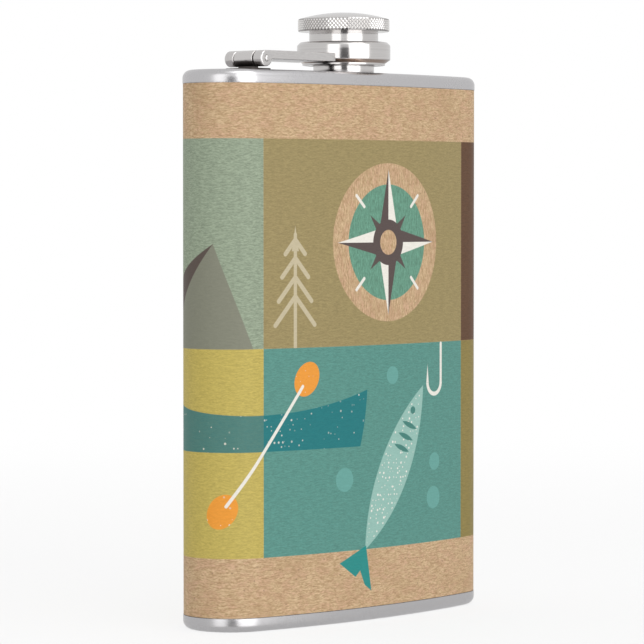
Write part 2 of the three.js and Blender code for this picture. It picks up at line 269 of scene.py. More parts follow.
def start_point(name, place):
    """Adds an object that holds one selected point, and leaves it in edit mode."""
    piece = add(bpy.ops.mesh.primitive_plane_add, name, size=MM, location=place)
    settle()
    bpy.ops.object.mode_set(mode="EDIT")
    bpy.ops.mesh.select_mode(type="VERT")
    bpy.ops.mesh.select_all(action="SELECT")
    bpy.ops.mesh.merge(type="CENTER")
    return piece


def extend(step):
    bpy.ops.mesh.extrude_region_move(TRANSFORM_OT_translate={"value": step})


def close_mesh():
    """Joins doubled points, turns the faces outwards and leaves edit mode."""
    weld()
    bpy.ops.mesh.normals_make_consistent(inside=False)
    bpy.ops.object.mode_set(mode="OBJECT")


def turned(name, profile, steps=TURNED_STEPS):
    """Draws a profile of (radius, height) points by extruding, and spins it round the cap's axis."""
    points = list(profile)
    if points[0][0] > 0:
        points.append(points[0])
    piece = start_point(name, (AXIS.x + points[0][0], AXIS.y, points[0][1]))
    for (radius, height), (next_radius, next_height) in zip(points, points[1:]):
        extend((next_radius - radius, 0, next_height - height))
    bpy.ops.mesh.select_all(action="SELECT")
    bpy.ops.mesh.spin(steps=steps, angle=FULL_TURN, center=(AXIS.x, AXIS.y, 0), axis=(0, 0, 1))
    close_mesh()
    return piece


def helix_ridge(name, root, crest, bottom, pitch, turns):
    """A thread's ridge: a small trapezium carried round and up by a screw modifier."""
    steps = HELIX_STEPS * turns
    piece = start_point(name, (root, 0, 0))
    extend((crest - root, 0, pitch * 0.28))
    extend((0, 0, pitch * 0.16))
    extend((root - crest, 0, pitch * 0.28))
    extend((0, 0, -pitch * 0.72))
    weld()
    bpy.ops.object.mode_set(mode="OBJECT")
    add_modifier(
        piece, "SCREW", angle=FULL_TURN * turns, screw_offset=pitch * turns, steps=steps,
        render_steps=steps, use_merge_vertices=True, merge_threshold=WELD / 10,
    )
    bpy.ops.object.mode_set(mode="EDIT")
    bpy.ops.mesh.select_all(action="SELECT")
    bpy.ops.mesh.fill_holes(sides=0)
    close_mesh()
    move(piece, (AXIS.x, AXIS.y, bottom))
    return piece


def move(piece, step):
    select(piece)
    bpy.ops.transform.translate(value=step)
    settle()


def select(piece):
    bpy.ops.object.select_all(action="DESELECT")
    piece.select_set(True)
    bpy.context.view_layer.objects.active = piece


def add_modifier(piece, kind, **settings):
    """Adds a modifier with its settings and applies it at once."""
    select(piece)
    modifier = piece.modifiers.new(kind.title(), kind)
    for key, value in settings.items():
        setattr(modifier, key, value)
    bpy.ops.object.modifier_apply(modifier=modifier.name)
    return piece


def combine(piece, tool, operation):
    """Joins a tool to a piece, or cuts it away, and deletes the tool."""
    add_modifier(piece, "BOOLEAN", object=tool, operation=operation, solver="MANIFOLD")
    bpy.data.objects.remove(tool, do_unlink=True)
    return piece


def soften(piece, width, segments=3):
    """Breaks the sharp edges of a piece."""
    return add_modifier(
        piece, "BEVEL", width=width, segments=segments, limit_method="ANGLE",
        angle_limit=math.radians(32), use_clamp_overlap=True,
    )


def smooth(piece, angle=28):
    select(piece)
    bpy.ops.object.shade_smooth_by_angle(angle=math.radians(angle))
    return piece


def select_faces(piece, wanted):
    """Selects the faces that a test picks, and goes into edit mode."""
    select(piece)
    bpy.ops.object.mode_set(mode="EDIT")
    bpy.ops.mesh.select_mode(type="FACE")
    bpy.ops.mesh.select_all(action="DESELECT")
    bpy.ops.object.mode_set(mode="OBJECT")
    found = 0
    for face in piece.data.polygons:
        face.select = wanted(face)
        found += face.select
    if not found:
        raise RuntimeError(f"no face of {piece.name} is where it should be")
    bpy.ops.object.mode_set(mode="EDIT")


def block(name, low, high, edge=0.0, segments=2):
    """A box between two corners with its edges rounded."""
    piece = add(bpy.ops.mesh.primitive_cube_add, name, size=1, location=(Vector(low) + Vector(high)) / 2)
    piece.scale = Vector(high) - Vector(low)
    settle()
    if edge:
        bpy.ops.object.mode_set(mode="EDIT")
        bpy.ops.mesh.select_all(action="SELECT")
        bpy.ops.mesh.bevel(offset=edge, segments=segments, affect="EDGES")
        bpy.ops.object.mode_set(mode="OBJECT")
    return piece


def rod(name, radius, start, stop, edge=0.0, segments=4):
    """A rod on the hinge's axis between two places on Y, with its ends rounded."""
    piece = add(
        bpy.ops.mesh.primitive_cylinder_add, name, vertices=ROD_STEPS, radius=radius, depth=stop - start,
        location=(HINGE.x, (start + stop) / 2, HINGE.z), rotation=(math.pi / 2, 0, 0),
    )
    settle()
    if edge:
        select_faces(piece, lambda face: abs(face.normal.y) > 0.9)
        bpy.ops.mesh.bevel(offset=edge, segments=segments, affect="EDGES")
        bpy.ops.object.mode_set(mode="OBJECT")
    return piece


def upright(name, radius, low, high):
    """A plain upright cylinder on the cap's axis, for cutting."""
    piece = add(
        bpy.ops.mesh.primitive_cylinder_add, name, vertices=TURNED_STEPS, radius=radius, depth=high - low,
        location=(AXIS.x, AXIS.y, (low + high) / 2),
    )
    settle()
    return piece


class Section:
    """The body's kidney section at some distance inside its rims."""

    def __init__(self, inset):
        body = bpy.context.scene.flask_body
        half = body.thickness / 2
        middle = body.front_radius - half
        self.angle = math.asin((body.width / 2 - half) / middle)
        depth = body.front_radius - middle * math.cos(self.angle) + half
        self.centre_y = body.front_radius - depth / 2
        self.middle = middle
        self.front = body.front_radius - inset
        self.back = body.front_radius - body.thickness + inset
        self.end = half - inset
        self.end_x = middle * math.sin(self.angle)
        self.end_y = self.centre_y - middle * math.cos(self.angle)
        self.girth = 2 * (self.angle * (self.front + self.back) + math.pi * self.end)

    def outline(self, name, height):
        """Draws the section's closed line, and leaves it selected in edit mode."""
        body = bpy.context.scene.flask_body
        across, down = self.front * math.sin(self.angle), self.front * math.cos(self.angle)
        start = (-across, self.centre_y - down, height)
        piece = start_point(name, start)
        arcs = [
            (0, self.centre_y, -2 * self.angle, body.front_steps),
            (self.end_x, self.end_y, -math.pi, body.end_steps),
            (0, self.centre_y, 2 * self.angle, body.front_steps),
            (-self.end_x, self.end_y, -math.pi, body.end_steps),
        ]
        for x, y, angle, steps in arcs:
            bpy.ops.mesh.spin(steps=steps, angle=angle, center=(x, y, height), axis=(0, 0, 1))
        weld()
        bpy.ops.mesh.select_all(action="SELECT")
        return piece

    def along(self, point):
        """Distance along the section from the middle of the front, on either side."""
        x = abs(point.x)
        turn = math.atan2(x, self.centre_y - point.y)
        if turn <= self.angle:
            if math.hypot(x, self.centre_y - point.y) > self.middle:
                return self.front * turn
            return self.front * self.angle + math.pi * self.end + self.back * (self.angle - turn)
        swept = math.atan2(point.y - self.end_y, x - self.end_x) - (self.angle - math.pi / 2)
        return self.front * self.angle + self.end * (swept % FULL_TURN)


def unroll(piece, section):
    """Gives a wrapped piece a map: along the section in one direction, up in the other."""
    layer = piece.data.uv_layers.new(name=UNROLLED)
    heights = [vertex.co.z for vertex in piece.data.vertices]
    low, high = min(heights), max(heights)
    for face in piece.data.polygons:
        side = math.copysign(1 / section.girth, face.center.x)
        for loop in face.loop_indices:
            point = piece.data.vertices[piece.data.loops[loop].vertex_index].co
            layer.data[loop].uv = (0.5 + side * section.along(point), (point.z - low) / (high - low))


def pan(name, open_edge, closed_edge):
    """A pressed end of the body: a skirt, a rounded corner and a flat, all of one thin sheet."""
    body = bpy.context.scene.flask_body
    piece = Section(0).outline(name, open_edge)
    extend((0, 0, closed_edge - open_edge))
    bpy.ops.mesh.edge_face_add()
    bpy.ops.object.mode_set(mode="OBJECT")
    flat = lambda face: abs(face.normal.z) > 0.999
    select_faces(piece, flat)
    bpy.ops.mesh.bevel(offset=body.corner_radius, segments=12, affect="EDGES")
    bpy.ops.object.mode_set(mode="OBJECT")
    select_faces(piece, flat)
    bpy.ops.mesh.inset(thickness=body.corner_radius / 5)
    close_mesh()
    return add_modifier(piece, "SOLIDIFY", thickness=body.pan_wall, offset=-1, use_even_offset=True)


# ---- Finishes ----

class Signal:
    """A number that varies over a surface: sums and products on it add Math nodes."""

    def __init__(self, finish, socket):
        self.finish = finish
        self.socket = socket

    def __add__(self, other):
        return self.finish.maths("ADD", self, other)

    def __sub__(self, other):
        return self.finish.maths("SUBTRACT", self, other)

    def __rsub__(self, other):
        return self.finish.maths("SUBTRACT", other, self)

    def __mul__(self, other):
        return self.finish.maths("MULTIPLY", self, other)

    def __truediv__(self, other):
        return self.finish.maths("DIVIDE", self, other)

    def __neg__(self):
        return self.finish.maths("MULTIPLY", self, -1.0)

    def __abs__(self):
        return self.finish.maths("ABSOLUTE", self)

    __radd__ = __add__
    __rmul__ = __mul__


class Graph:
    """The nodes of a material or of the world."""

    def __init__(self, owner):
        owner.use_nodes = True
        self.tree = owner.node_tree
        self.tree.nodes.clear()

    def node(self, kind, settings=None, inputs=None):
        """Adds a node, sets it up, and gives its sockets their values or links."""
        node = self.tree.nodes.new(kind)
        for key, value in (settings or {}).items():
            setattr(node, key, value)
        for key, value in (inputs or {}).items():
            self.feed(node.inputs[key], value)
        return node

    def feed(self, socket, value):
        if isinstance(value, Signal):
            value = value.socket
        if isinstance(value, bpy.types.NodeSocket):
            self.tree.links.new(value, socket)
        elif getattr(socket, "type", "") == "RGBA" and len(value) == 3:
            socket.default_value = (*value, 1)
        else:
            socket.default_value = value


class Finish(Graph):
    """A material under construction."""

    def __init__(self, name):
        self.material = bpy.data.materials.new(name)
        super().__init__(self.material)
        self.surface = self.node("ShaderNodeBsdfPrincipled")
        self.node("ShaderNodeOutputMaterial", inputs={"Surface": self.surface.outputs["BSDF"]})

    def set(self, **values):
        """Feeds the surface shader: base_color sets Base Color, and so on."""
        for key, value in values.items():
            self.feed(self.surface.inputs[key.replace("_", " ").title().replace("Ior", "IOR")], value)

    def maths(self, operation, *values, clamp=False):
        settings = {"operation": operation, "use_clamp": clamp}
        node = self.node("ShaderNodeMath", settings, dict(enumerate(values)))
        return Signal(self, node.outputs[0])

    def least(self, first, second):
        return self.maths("MINIMUM", first, second)

    def most(self, first, *others):
        for other in others:
            first = self.maths("MAXIMUM", first, other)
        return first

    def hypot(self, x, y):
        return self.maths("SQRT", x * x + y * y)

    def mix(self, first, second, amount):
        """A colour between two colours."""
        settings = {"data_type": "RGBA", "clamp_factor": True}
        node = self.node("ShaderNodeMix", settings, {0: amount, 6: first, 7: second})
        return node.outputs[2]

    def grained(self, shade, grain, dark=0.9, low=0.3, high=0.7):
        """A colour that is darker by a factor where the grain is low."""
        return self.mix([dark * c for c in shade], shade, self.rise(grain, low, high))

    def vector(self, x, y, z=0.0):
        return self.node("ShaderNodeCombineXYZ", inputs={0: x, 1: y, 2: z}).outputs[0]

    def place(self):
        """The surface point's coordinates, in millimetres."""
        coordinates = self.node("ShaderNodeTexCoord").outputs["Object"]
        parts = self.node("ShaderNodeSeparateXYZ", inputs={0: coordinates})
        return [Signal(self, parts.outputs[i]) / MM for i in range(3)]

    def noise(self, x, y, z=0.0, scale=1.0, detail=3.0, roughness=0.55):
        """Noise from 0 to 1, about 0.5 on average."""
        inputs = {"Vector": self.vector(x, y, z), "Scale": scale, "Detail": detail, "Roughness": roughness}
        return Signal(self, self.node("ShaderNodeTexNoise", inputs=inputs).outputs[0])

    def rise(self, value, low, high):
        """0 below low, 1 above high, and a smooth step between them."""
        inputs = {"Value": value, "From Min": low, "From Max": high}
        node = self.node("ShaderNodeMapRange", {"interpolation_type": "SMOOTHSTEP"}, inputs)
        return Signal(self, node.outputs[0])

    def bump(self, height, strength, distance=0.1 * MM):
        inputs = {"Height": height, "Strength": strength, "Distance": distance}
        return self.node("ShaderNodeBump", inputs=inputs).outputs["Normal"]


def satin_steel():
    """Pressed stainless steel with a fine, even satin grain, and painted shade that darkens it towards the
    base.
    """
    metal = bpy.context.scene.flask_metal
    finish = Finish("satin_steel")
    x, y, z = finish.place()
    grain = finish.noise(x, y, z * 2.0, scale=6.0, detail=3)
    clouds = finish.noise(x, y, z, scale=0.09, detail=2)
    shade = finish.grained(metal.satin_colour, grain, 0.93)
    # Painted shade: the steel's colour is made darker towards the base.
    shade = finish.mix([0.85 * c for c in metal.satin_colour], shade, finish.rise(z, 2.0, 12.0))
    finish.set(
        base_color=shade,
        metallic=1.0,
        roughness=metal.satin_roughness + (grain - 0.5) * 0.06 + (clouds - 0.5) * 0.05,
        normal=finish.bump(grain, 0.05, 0.02 * MM),
    )
    return finish.material


def turned_finish(name, shade, roughness):
    """Steel with fine circular tool marks round the cap's axis."""
    finish = Finish(name)
    x, y, z = finish.place()
    radius = finish.hypot(x - AXIS.x / MM, y - AXIS.y / MM)
    marks = finish.noise(radius, z, scale=7.0, detail=3, roughness=0.7)
    haze = finish.noise(x, y, z, scale=0.35, detail=3)
    finish.set(
        base_color=finish.grained(shade, marks, low=0.35, high=0.6),
        metallic=1.0,
        roughness=roughness + (marks - 0.5) * 0.12 + (haze - 0.5) * 0.06,
        normal=finish.bump(marks, 0.10, 0.02 * MM),
    )
    return finish


def turned_steel():
    metal = bpy.context.scene.flask_metal
    return turned_finish("turned_steel", metal.turned_colour, metal.turned_roughness).material


def knurled_steel():
    """Turned steel with painted shade in the grooves of the knurl and a painted highlight on its points."""
    metal = bpy.context.scene.flask_metal
    cap = bpy.context.scene.flask_cap
    finish = turned_finish("knurled_steel", metal.turned_colour, metal.turned_roughness)
    x, y, z = finish.place()
    depth = finish.hypot(x - AXIS.x / MM, y - AXIS.y / MM) - cap.head_radius / MM
    knurl = cap.knurl_depth / MM
    on_rim = finish.rise(depth, -1.6 * knurl, -1.3 * knurl)
    raised = finish.rise(depth, -0.95 * knurl, -0.25 * knurl)
    plain = finish.surface.inputs["Base Color"].links[0].from_socket
    # Painted shade: the grooves of the knurl are darkened towards the washer's darker steel colour.
    groove = finish.mix(plain, metal.worked_colour, on_rim * (1 - raised) * 0.55)
    # Painted highlight: the points of the knurl are made near white.
    finish.set(base_color=finish.mix(groove, (0.97, 0.95, 0.93), on_rim * raised))
    return finish.material


def collar_steel():
    """Turned steel with a straw-brown heat tint on the bevel below the brazed arm."""
    metal = bpy.context.scene.flask_metal
    collar = bpy.context.scene.flask_collar
    finish = turned_finish("collar_steel", metal.turned_colour, metal.turned_roughness)
    z = finish.place()[2]
    foot_top = (RING_LOW.z + collar.foot_height) / MM
    bevel_top = foot_top + collar.bevel_height / MM
    tint = finish.rise(z, foot_top - 0.1, foot_top + 0.1) * (1 - finish.rise(z, bevel_top - 0.25, bevel_top))
    plain = finish.surface.inputs["Base Color"].links[0].from_socket
    finish.set(base_color=finish.mix(plain, metal.braze_tint, tint * 0.8))
    return finish.material


def drawn_steel():
    """Flat bar: fine lengthwise grain."""
    metal = bpy.context.scene.flask_metal
    finish = Finish("drawn_steel")
    x, y, z = finish.place()
    grain = finish.noise(x * 0.3, y * 3.0, z * 3.0, scale=2.4, detail=4)
    finish.set(
        base_color=finish.grained(metal.turned_colour, grain),
        metallic=1.0,
        roughness=metal.turned_roughness + 0.08 + (grain - 0.5) * 0.12,
        normal=finish.bump(grain, 0.08, 0.02 * MM),
    )
    return finish.material


def worked_steel():
    """Darker, duller steel of the washer."""
    metal = bpy.context.scene.flask_metal
    finish = Finish("worked_steel")
    x, y, z = finish.place()
    grain = finish.noise(x, y, z, scale=2.0, detail=5)
    finish.set(
        base_color=finish.grained(metal.worked_colour, grain, 0.8),
        metallic=1.0,
        roughness=0.3 + grain * 0.16,
        normal=finish.bump(grain, 0.12, 0.03 * MM),
    )
    return finish.material


def bracket_steel():
    """Bright rolled steel with painted shade below the pin, which darkens the web and the base."""
    metal = bpy.context.scene.flask_metal
    finish = Finish("bracket_steel")
    x, y, z = finish.place()
    grain = finish.noise(x, y * 0.4, z * 2.0, scale=2.0, detail=5)
    # Painted shade: below the pin the bracket goes to the dark painted shade colour.
    bright = finish.rise(z + (grain - 0.5) * 0.5, HINGE.z / MM - 0.75, HINGE.z / MM - 0.35)
    finish.set(
        base_color=finish.mix(metal.painted_shade_colour, metal.turned_colour, bright),
        metallic=1.0,
        roughness=0.42 - 0.22 * bright + (grain - 0.5) * 0.1,
        normal=finish.bump(grain, 0.10, 0.03 * MM),
    )
    return finish.material


def seal_silicone():
    metal = bpy.context.scene.flask_metal
    finish = Finish("seal_silicone")
    x, y, z = finish.place()
    mottle = finish.noise(x, y, z, scale=0.9, detail=3)
    finish.set(
        base_color=finish.mix([0.92 * c for c in metal.seal_colour], metal.seal_colour, mottle),
        roughness=0.55 + mottle * 0.2,
        normal=finish.bump(mottle, 0.1),
    )
    return finish.material


class Artwork(Finish):
    """The print: flat shapes laid over brown paper, in millimetres along and up the wrap."""

    EDGE = 0.15

    def __init__(self, section):
        super().__init__("printed_vinyl")
        unrolled = self.node("ShaderNodeUVMap", {"uv_map": UNROLLED}).outputs[0]
        parts = self.node("ShaderNodeSeparateXYZ", inputs={0: unrolled})
        self.half_girth = section.girth / MM / 2
        self.x = (Signal(self, parts.outputs[0]) - 0.5) * (2 * self.half_girth)
        self.y = Signal(self, parts.outputs[1]) * ((WRAP_HIGH.z - WRAP_LOW.z) / MM) + WRAP_LOW.z / MM
        self.inks = bpy.context.scene.flask_print
        worn_patches = self.rise(self.noise(self.x, self.y, 3.0, 0.22, 2), 0.42, 0.56)
        self.wear = self.flecks(self.x, self.y, 1.3, 0.2, 0.32) * worn_patches

    def inside(self, distance):
        """1 where a distance is negative, 0 outside, with a soft edge."""
        return self.maths("MULTIPLY_ADD", distance, -1 / self.EDGE, 0.5, clamp=True)

    def half_plane(self, point, bearing):
        """Distance beyond a line through a point; the bearing, in degrees, is the way out."""
        turn = math.radians(bearing)
        across, up = math.cos(turn), math.sin(turn)
        return self.x * across + self.y * up - (point[0] * across + point[1] * up)

    def disc(self, centre, radius):
        return self.hypot(self.x - centre[0], self.y - centre[1]) - radius

    def oval(self, centre, along, across, bearing):
        """A leaning oval; the bearing, in degrees, is that of its long axis."""
        turn = math.radians(bearing)
        dx, dy = self.x - centre[0], self.y - centre[1]
        lengthways = (dx * math.cos(turn) + dy * math.sin(turn)) / along
        sideways = (dy * math.cos(turn) - dx * math.sin(turn)) / across
        return (self.hypot(lengthways, sideways) - 1) * across

    def stroke(self, start, stop, width):
        """A straight line with round ends."""
        dx, dy = stop[0] - start[0], stop[1] - start[1]
        x, y = self.x - start[0], self.y - start[1]
        share_along = self.maths("MULTIPLY", x * dx + y * dy, 1 / (dx * dx + dy * dy), clamp=True)
        return self.hypot(x - share_along * dx, y - share_along * dy) - width / 2

    def polygon(self, *corners):
        """A convex shape with its corners listed anticlockwise."""
        sides = []
        for (x0, y0), (x1, y1) in zip(corners, corners[1:] + corners[:1]):
            bearing = math.degrees(math.atan2(y1 - y0, x1 - x0)) - 90
            sides.append(self.half_plane((x0, y0), bearing))
        return self.most(*sides)

    def lens(self, tip, tail, width):
        """The overlap of two equal discs, from tip to tail."""
        dx, dy = tip[0] - tail[0], tip[1] - tail[1]
        reach = math.hypot(dx, dy)
        radius = (reach * reach / 4 + width * width / 4) / width
        offset = radius - width / 2
        middle = ((tip[0] + tail[0]) / 2, (tip[1] + tail[1]) / 2)
        across = (-dy / reach * offset, dx / reach * offset)
        first = self.disc((middle[0] + across[0], middle[1] + across[1]), radius)
        second = self.disc((middle[0] - across[0], middle[1] - across[1]), radius)
        return self.most(first, second)

    def flecks(self, x, y, spacing, size, portion):
        """Separate small specks, in some of the cells of a scattered pattern."""
        inputs = {"Vector": self.vector(x / spacing, y / spacing), "Scale": 1.0}
        cells = self.node("ShaderNodeTexVoronoi", {"voronoi_dimensions": "2D"}, inputs)
        chances = self.node("ShaderNodeSeparateXYZ", inputs={0: cells.outputs["Color"]})
        big = Signal(self, chances.outputs[0])
        chosen = self.rise(Signal(self, chances.outputs[1]), 1 - portion, 1.001 - portion)
        return self.inside(Signal(self, cells.outputs["Distance"]) * spacing - (0.35 + big) * size) * chosen

    def grain(self, along, across):
        """Paper grain lying along one direction, from 0 to 1."""
        drift = self.noise(along, across, 5.0, scale=0.22, detail=1)
        across = across + drift * 1.5
        streaks = self.noise(along * 0.45, across * 2.5, scale=1.0, detail=4, roughness=0.72)
        threads = self.noise(along * 1.3, across * 5.5, 11.0, scale=1.0, detail=2)
        return self.rise(streaks * 0.6 + threads * 0.4, 0.38, 0.62)

    def paper(self, along, across):
        """Brown paper with pale and dark fibres, warm and cool patches, and specks."""
        inks = self.inks
        patches = self.noise(along * 0.5, across, 23.0, scale=0.55, detail=4, roughness=0.7)
        pale = self.mix(inks.paper_pale, inks.paper_pink, self.rise(patches, 0.42, 0.60))
        tone = self.mix(inks.paper_dark, pale, self.grain(along, across))
        clouds = self.noise(along, across, 31.0, scale=0.10, detail=3)
        tone = self.mix(tone, inks.paper_dark, self.rise(clouds, 0.45, 0.75) * 0.35)
        tone = self.mix(tone, inks.paper_pale, self.flecks(along * 0.45, across, 1.5, 0.13, 0.35) * 0.55)
        tone = self.mix(tone, inks.paper_speck, self.flecks(along * 0.8, across, 2.1, 0.15, 0.30) * 0.55)
        return self.mix(tone, inks.paper_speck, self.flecks(along * 0.35, across, 2.7, 0.12, 0.35) * 0.45)

    def shade(self, ground, level):
        """Darkens or lightens what is there by a factor."""
        settings = {"data_type": "RGBA", "blend_type": "MULTIPLY"}
        return self.node("ShaderNodeMix", settings, {0: 1.0, 6: ground, 7: level}).outputs[2]

    def lay(self, ground, ink, distance, cover=0.97, worn=False):
        """Prints an ink inside a shape, letting a little of what is there show."""
        mask = self.inside(distance)
        if worn:
            ink = self.mix(ink, self.inks.cream, self.wear * 0.8)
        return self.mix(ground, ink, mask * cover)


COLUMN_LEFT = -36.95
COLUMN_RIGHT = 34.9
ROW_BOTTOM = 17.7
ROW_MIDDLE = 67.6
ROW_TOP = 117.7


def lay_blocks(art, ground):
    """Three columns of two plain colour blocks between bands of bare paper."""
    left = art.x - COLUMN_LEFT
    right = COLUMN_RIGHT - art.x
    middle = art.most(-left, -right)
    upper = art.most(ROW_MIDDLE - art.y, art.y - ROW_TOP)
    lower = art.most(art.y - ROW_MIDDLE, ROW_BOTTOM - art.y)
    inks = art.inks
    for ink, column, row in [
        (inks.sage, left, upper), (inks.olive, middle, upper), (inks.brown, right, upper),
        (inks.mustard, left, lower), (inks.teal, middle, lower), (inks.moss, right, lower),
    ]:
        ground = art.lay(ground, ink, art.most(column, row), 0.96)
    within = art.inside(ROW_BOTTOM - art.y) * art.inside(art.y - ROW_TOP)
    sagey = art.inside(left) * art.inside(upper)
    grain = art.grain(art.x + 60.0, art.y)
    return art.shade(ground, 1 + within * (0.26 + sagey * 0.18) * (grain - 0.5))


def lay_peaks(art, ground):
    """A plain peak, lit from the right, and a disc of sun."""
    above = ROW_MIDDLE - art.y
    ground = art.lay(ground, art.inks.cream, art.disc((-88.0, 103.0), 6.0), 0.6)
    apex = (-49.8, 92.6)
    peak = art.most(art.half_plane(apex, 122.4), art.half_plane(apex, 21.6), above)
    ground = art.lay(ground, art.inks.rock_light, peak, 0.93)
    return art.lay(ground, art.inks.rock_dark, art.most(peak, art.half_plane(apex, -38.3)))


def lay_pine(art, ground):
    """A plain conifer: a trunk and straight drooping branches."""
    x, foot, top = -27.5, ROW_MIDDLE, 96.8
    trunk = art.stroke((x, foot - 1), (x, top - 2), 1.0)
    tree = art.least(trunk, art.polygon((x - 1.1, top - 6), (x + 1.1, top - 6), (x, top)))
    for height, reach in ((top - 3.2, 3.0), (top - 7.6, 4.0), (top - 12.2, 5.0), (top - 16.8, 6.0)):
        for side in (-1, 1):
            branch = art.stroke((x, height), (x + side * reach, height - reach * 1.15), 1.15)
            tree = art.least(tree, branch)
    return art.lay(ground, art.inks.pine, art.most(tree, foot - art.y), 0.9)


def lay_compass(art, ground):
    """An upright eight-point rose on a dial inside a ring of bare paper."""
    centre, outer, dial = (3.8, 92.7), 19.4, 14.2
    dx, dy = art.x - centre[0], art.y - centre[1]
    from_centre = art.hypot(dx, dy)
    upright_paper = art.paper(art.y, art.x)
    ground = art.mix(ground, upright_paper, art.inside(from_centre - outer))
    streaks = art.grain(art.y + 20.0, art.x)
    dial_ink = art.shade(art.inks.dial, 1 + 0.5 * (streaks - 0.5))
    ground = art.lay(ground, dial_ink, from_centre - dial)
    for bearing in (45, 135, 225, 315):
        turn = math.radians(bearing)
        across, up = math.cos(turn), math.sin(turn)
        ends = [(centre[0] + r * across, centre[1] + r * up) for r in (12.4, 16.2)]
        ground = art.lay(ground, art.inks.cream, art.stroke(*ends, 0.8))
        foot = [(centre[0] + 2.2 * a, centre[1] + 2.2 * b) for a, b in ((up, -across), (-up, across))]
        tip = (centre[0] + 9.4 * across, centre[1] + 9.4 * up)
        ground = art.lay(ground, art.inks.needle, art.polygon(foot[0], tip, foot[1]))
    side = dx * dy
    for reach, half, lying in [(17.8, 4.0, False), (4.0, 17.8, True)]:
        arm = (abs(dx) / half + abs(dy) / reach - 1) * 3.6
        pale = art.rise(side, -0.3, 0.3)
        half_shaded = art.mix(art.inks.needle, art.inks.cream, 1 - pale if lying else pale)
        ground = art.lay(ground, half_shaded, arm, 1.0)
    ground = art.lay(ground, art.inks.needle, from_centre - 5.6, 1.0)
    return art.mix(ground, upright_paper, art.inside(from_centre - 3.05))


def lay_canoe(art, ground):
    """A plain hull with rounded ends, and a paddle across it."""
    keel, sheer, half = 43.0, 51.7, 35.1
    middle = -3.8 - half
    hull = art.most(keel - art.y, -art.disc((middle, sheer + 122.5), 122.5))
    for side in (-1, 1):
        bow = art.disc((middle + side * (half - 58.0), 60.0), 58.0)
        hull = art.most(hull, (art.x - middle) * side - half, bow)
    ground = art.lay(ground, art.inks.hull, hull, 0.86, worn=True)
    tips = (-23.9, 60.0), (-47.6, 28.9)
    bearing = math.degrees(math.atan2(tips[0][1] - tips[1][1], tips[0][0] - tips[1][0]))
    for centre in tips:
        ground = art.lay(ground, art.inks.paddle, art.oval(centre, 4.5, 3.5, bearing), worn=True)
    return art.lay(ground, art.inks.cream, art.stroke((-46.6, 30.2), (-25.2, 58.3), 0.8))


def lay_fish(art, ground):
    """A plain fish, its bubbles and a hook on a line."""
    nose, tail = (17.6, 57.0), (-4.6, 17.6)
    body = art.lens(nose, tail, 11.0)
    ground = art.lay(ground, art.inks.fish, body, 0.95)
    scuffs = art.inside(body + 0.6) * art.flecks(art.x, art.y, 1.1, 0.22, 0.5)
    ground = art.mix(ground, art.inks.cream, scuffs)
    for share_along in (0.62, 0.69, 0.76):
        middle = [b + (a - b) * share_along for a, b in zip(nose, tail)]
        mark = art.lens((middle[0] - 3.0, middle[1] + 0.9), (middle[0] + 2.6, middle[1] - 1.3), 1.3)
        ground = art.lay(ground, art.inks.fin, mark)
    ground = art.lay(ground, art.inks.fin, art.disc((13.4, 51.0), 0.95))
    fork = art.most(
        art.polygon((-13.4, 14.8), (-2.4, 7.4), (-4.3, 18.6)),
        -art.polygon((-15.0, 5.0), (-3.0, 5.0), (-6.4, 12.6)),
    )
    ground = art.lay(ground, art.inks.tail, fork)
    line = art.stroke((25.3, ROW_MIDDLE - 0.4), (25.3, 57.6), 0.9)
    bend = art.most(abs(art.disc((22.4, 57.6), 2.9)) - 0.5, art.y - 57.6)
    point = art.polygon((19.0, 57.6), (20.0, 57.6), (19.5, 62.0))
    ground = art.lay(ground, art.inks.cream, art.least(art.least(line, bend), point))
    bubbles = ((5.4, 60.0), 2.2), ((-11.7, 35.1), 2.9), ((22.5, 37.8), 2.2), ((22.0, 28.8), 2.8)
    for centre, radius in bubbles:
        ground = art.lay(ground, art.inks.bubble, art.disc(centre, radius), 0.8)
    return ground


def lay_camp(art, ground):
    """A plain tent and a plain fire, on the back."""
    x, foot = 72.0, ROW_MIDDLE + 8.0
    tent = art.polygon((x - 16, foot), (x + 16, foot), (x, foot + 22))
    ground = art.lay(ground, art.inks.pine, tent, 0.9, worn=True)
    ground = art.lay(ground, art.inks.rock_dark, art.polygon((x - 5, foot), (x + 5, foot), (x, foot + 14)))
    hearth = 32.0
    for width, height, ink in ((11.0, 21.0, art.inks.paddle), (5.4, 11.5, art.inks.mustard)):
        flame = art.lens((x, hearth + height), (x, hearth - 2.0), width)
        ground = art.lay(ground, ink, art.most(flame, hearth - art.y), worn=True)
    for side in (-1, 1):
        log = art.stroke((x - side * 8.5, hearth - 2.4), (x + side * 8.5, hearth + 0.6), 2.6)
        ground = art.lay(ground, art.inks.brown, log)
    return ground


def printed_vinyl(section):
    """Semi-matt vinyl printed with colour blocks and plain outdoor motifs."""
    art = Artwork(section)
    ground = art.paper(art.x, art.y)
    for lay in (lay_blocks, lay_peaks, lay_pine, lay_compass, lay_canoe, lay_fish, lay_camp):
        ground = lay(art, ground)
    grain = art.grain(art.x + 30.0, art.y)
    ground = art.shade(ground, 1 + 0.10 * (grain - 0.5))
    seam = art.inside(art.half_girth - 0.12 - abs(art.x))
    art.set(
        base_color=art.mix(ground, art.inks.paper_speck, seam),
        roughness=art.inks.roughness + (grain - 0.5) * 0.10,
        normal=art.bump(grain * 0.25 - seam, 0.25, 0.05 * MM),
        specular_ior_level=art.inks.sheen,
    )
    return art.material


def dress(piece, material, slot, body, *nodes):
    """Gives a new piece its finish and its body, and stands it in for CAD nodes; the slot is not used."""
    piece.data.materials.clear()
    piece.data.materials.append(material)
    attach(piece, body)
    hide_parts(*nodes)


# ---- Operators ----

